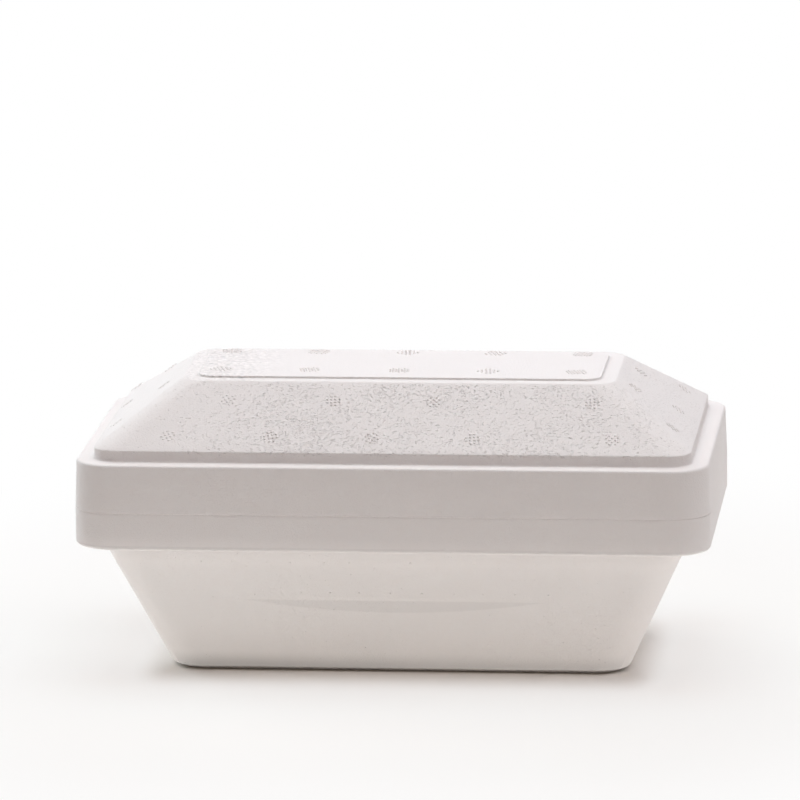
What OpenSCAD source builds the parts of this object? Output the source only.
// Moulded foam ice cream tub with its lid: a tapered tub under a wide rim band,
// and a hipped lid that plugs onto a raised tongue. Origin under the middle of the foot,
// X along the long side, Z up.

/* [Rim band] */
// Length over the rim band, along X
rim_l = 189; // [160:1:220]
// Depth over the rim band, along Y
rim_d = 109; // [100:1:140]
// Corner radius of the rim band seen from above
rim_corner_r = 12; // [6:0.5:14]
// Height of the tub's share of the band
tub_band_h = 11.2; // [8:0.1:20]
// Height of the lid's share of the band
lid_band_h = 14.5; // [10:0.1:20]
// Draft of the lid's band, from its lower to its upper edge
band_draft = 0.5; // [0:0.1:1.5]
// Round under the band
band_round = 3; // [1:0.5:5]

/* [Body] */
// Height of the tapered body under the band
body_h = 42; // [30:0.1:60]
// How far the band stands out past the body
overhang = 7.5; // [5:0.5:12]
// How far each wall leans in from the band to the foot
body_lean = 18.6; // [6:0.1:22]
// Corner radius of the body seen from above
body_corner_r = 9.5; // [6:0.5:14]
// Round along the foot
foot_round = 4; // [1:0.5:6]

/* [Foam walls] */
// Wall thickness of the tub, square to its face
wall = 11; // [8:0.5:13]
// Floor thickness
floor_t = 11; // [8:0.5:14]
// Roof thickness of the lid, square to its face
roof_t = 11; // [8:0.5:13]
// Corner radius of the hollow seen from above
hollow_corner_r = 6; // [3:0.5:9]
// Round where the hollow's walls meet its floor and ceiling
hollow_round = 5; // [2:0.5:6]

/* [Closure] */
// Width of the shoulder that carries the lid's skirt
shoulder_w = 6.5; // [5:0.1:8]
// Height of the tongue above the shoulder
tongue_h = 5; // [3:0.1:7]
// Draft of the tongue's outer face
tongue_draft = 0.4; // [0:0.1:1]
// Corner radius of the tongue seen from above
tongue_corner_r = 6; // [4:0.5:9]
// Gap left between the tongue and the lid's rebate
closure_gap = 0.3; // [0.2:0.05:0.6]

/* [Lid outside] */
// Width of the flat ledge round the lid, measured from the rim's face
ledge_w = 5.7; // [4:0.1:10]
// Height of the small step above the ledge
step_h = 3.4; // [1.5:0.1:6]
// Corner radius at the step seen from above
step_corner_r = 7.5; // [4:0.5:10]
// Rise of the sloping roof above the step
roof_rise = 16.7; // [12:0.1:22]
// How far each slope runs in from the step to the flat top
roof_run = 23.9; // [18:0.1:28]
// Corner radius of the flat top seen from above
top_corner_r = 7; // [3:0.5:9]
// Margin left between the flat top's edge and the raised panel
panel_margin = 4.5; // [2:0.1:8]
// Height of the raised panel
panel_h = 0.6; // [0.4:0.1:1.5]
// Corner radius of the raised panel seen from above
panel_corner_r = 5; // [2:0.5:7]

/* [Edges] */
// Broken edge along the parting line, on each side of it
parting_break = 0.2; // [0.1:0.05:0.4]
// Round on the lid's band at the ledge
ledge_round = 0.7; // [0.3:0.1:1.2]
// Round along the top of the slopes
ridge_round = 1.5; // [0.5:0.1:3]
// Round in the other small corners
small_round = 0.5; // [0.2:0.1:0.8]

/* [Fineness] */
// Faces round each corner seen from above
corner_steps = 10; // [6:1:12]
// Faces across a large round
round_steps = 5; // [3:1:6]
// Faces across a small round
fine_steps = 2; // [1:1:3]

/* [Hidden] */

foam_white = "whitesmoke";

// Heights above the ground
parting_z = body_h + tub_band_h;
tongue_z = parting_z + tongue_h;
ledge_z = parting_z + lid_band_h;
step_z = ledge_z + step_h;
top_z = step_z + roof_rise;
panel_z = top_z + panel_h;
rebate_z = tongue_z + closure_gap;
ceiling_z = top_z - roof_t;

// Insets, measured inwards from the rim's outer face
foot_inset = overhang + body_lean;
top_inset = ledge_w + roof_run;
panel_inset = top_inset + panel_margin;
rebate_inset = shoulder_w - closure_gap;

// The hollow's wall keeps parallel to the body's outside
lean_rate = body_lean / body_h;
wall_x = wall * norm([1, lean_rate]);
function hollow_inset(z) = overhang + (body_h - z) * lean_rate + wall_x;
mouth_inset = hollow_inset(tongue_z);

// The lid's ceiling keeps parallel to its roof
roof_rate = roof_rise / roof_run;
roof_drop = roof_t * norm([1, roof_rate]);
function vault_z(inset) = step_z + (inset - ledge_w) * roof_rate - roof_drop;
function vault_inset(z) = ledge_w + (z - step_z + roof_drop) / roof_rate;

// How far a face at the start or the end of a section runs in past its last corner
face_lap = 8;

function unit(v) = v / norm(v);

// Arc of radius r that rounds the corner b of the line a, b, c, in n steps
function arc(a, b, c, r, n) =
    let(u = unit(a - b), v = unit(c - b), half = acos(u * v) / 2, turn = 180 - 2 * half)
    let(centre = b + unit(u + v) * r / sin(half))
    let(from = b + u * r / tan(half) - centre, to = b + v * r / tan(half) - centre)
    [for (k = [0 : n]) centre + (from * sin(turn * (1 - k / n)) + to * sin(turn * k / n)) / sin(turn)];

// A section is a list of corners [inset, height, plan corner radius, round, steps].
// Its rounded form is a list of [inset, height, plan corner radius].
function rounded(section) =
    [for (i = [0 : len(section) - 1])
        let(s = section[i], at = [s[0], s[1]])
        let(before = section[max(i - 1, 0)], after = section[min(i + 1, len(section) - 1)])
        let(plain = s[3] == 0)
        each plain ? [[s[0], s[1], s[2]]] :
            [for (p = arc([before[0], before[1]], at, [after[0], after[1]], s[3], s[4]))
                [p[0], p[1], s[2]]]];

// Closed ring with rounded corners, at one inset and height
function ring(inset, z, r) =
    let(x = rim_l / 2 - inset - r, y = rim_d / 2 - inset - r)
    [for (corner = [0 : 3], k = [0 : corner_steps])
        let(a = 90 * (corner + k / corner_steps))
        let(side_x = corner == 0 || corner == 3 ? 1 : -1, side_y = corner < 2 ? 1 : -1)
        [side_x * x + r * cos(a), side_y * y + r * sin(a), z]];

// Solid whose skin follows a section round the four sides, closed by a flat face at each end
module swept(section) {
    stations = rounded(section);
    count = 4 * (corner_steps + 1);
    last = len(stations) - 1;
    points = [for (s = stations) each ring(s[0], s[1], s[2])];
    skin = [for (i = [0 : last - 1], j = [0 : count - 1])
        let(a = i * count + j, b = i * count + (j + 1) % count)
        each [[a, a + count, b + count], [a, b + count, b]]];
    start_face = [for (j = [0 : count - 1]) j];
    end_face = [for (j = [count - 1 : -1 : 0]) last * count + j];
    polyhedron(points, concat([start_face], skin, [end_face]));
}

// Tub: from under the foot, up the outside, over the tongue and down into the hollow
module tub() {
    floor_inset = hollow_inset(floor_t);
    color(foam_white) swept([
        [foot_inset + face_lap, 0, body_corner_r, 0],
        [foot_inset, 0, body_corner_r, foot_round, round_steps],
        [overhang, body_h, body_corner_r, small_round, fine_steps],
        [0, body_h, rim_corner_r, band_round, round_steps],
        [0, parting_z, rim_corner_r, parting_break, fine_steps],
        [shoulder_w, parting_z, tongue_corner_r, small_round, fine_steps],
        [shoulder_w + tongue_draft, tongue_z, tongue_corner_r, small_round, fine_steps],
        [mouth_inset, tongue_z, hollow_corner_r, small_round, fine_steps],
        [floor_inset, floor_t, hollow_corner_r, hollow_round, round_steps],
        [floor_inset + face_lap, floor_t, hollow_corner_r, 0]
    ]);
}

// Lid: from its ceiling, down the inside, round the rebate and the skirt and up over the roof
module lid() {
    vault_top = vault_inset(ceiling_z);
    rebate_corner_r = tongue_corner_r + closure_gap;
    color(foam_white) swept([
        [vault_top + face_lap, ceiling_z, hollow_corner_r, 0],
        [vault_top, ceiling_z, hollow_corner_r, hollow_round, round_steps],
        [mouth_inset, vault_z(mouth_inset), hollow_corner_r, small_round, fine_steps],
        [mouth_inset, rebate_z, hollow_corner_r, small_round, fine_steps],
        [rebate_inset + tongue_draft, rebate_z, rebate_corner_r, small_round, fine_steps],
        [rebate_inset, parting_z, rebate_corner_r, small_round, fine_steps],
        [0, parting_z, rim_corner_r, parting_break, fine_steps],
        [band_draft, ledge_z, rim_corner_r, ledge_round, fine_steps],
        [ledge_w, ledge_z, step_corner_r, small_round, fine_steps],
        [ledge_w, step_z, step_corner_r, small_round, fine_steps],
        [top_inset, top_z, top_corner_r, ridge_round, fine_steps],
        [panel_inset, top_z, panel_corner_r, 0],
        [panel_inset, panel_z, panel_corner_r, parting_break, fine_steps],
        [panel_inset + face_lap, panel_z, panel_corner_r, 0]
    ]);
}

tub();
lid();
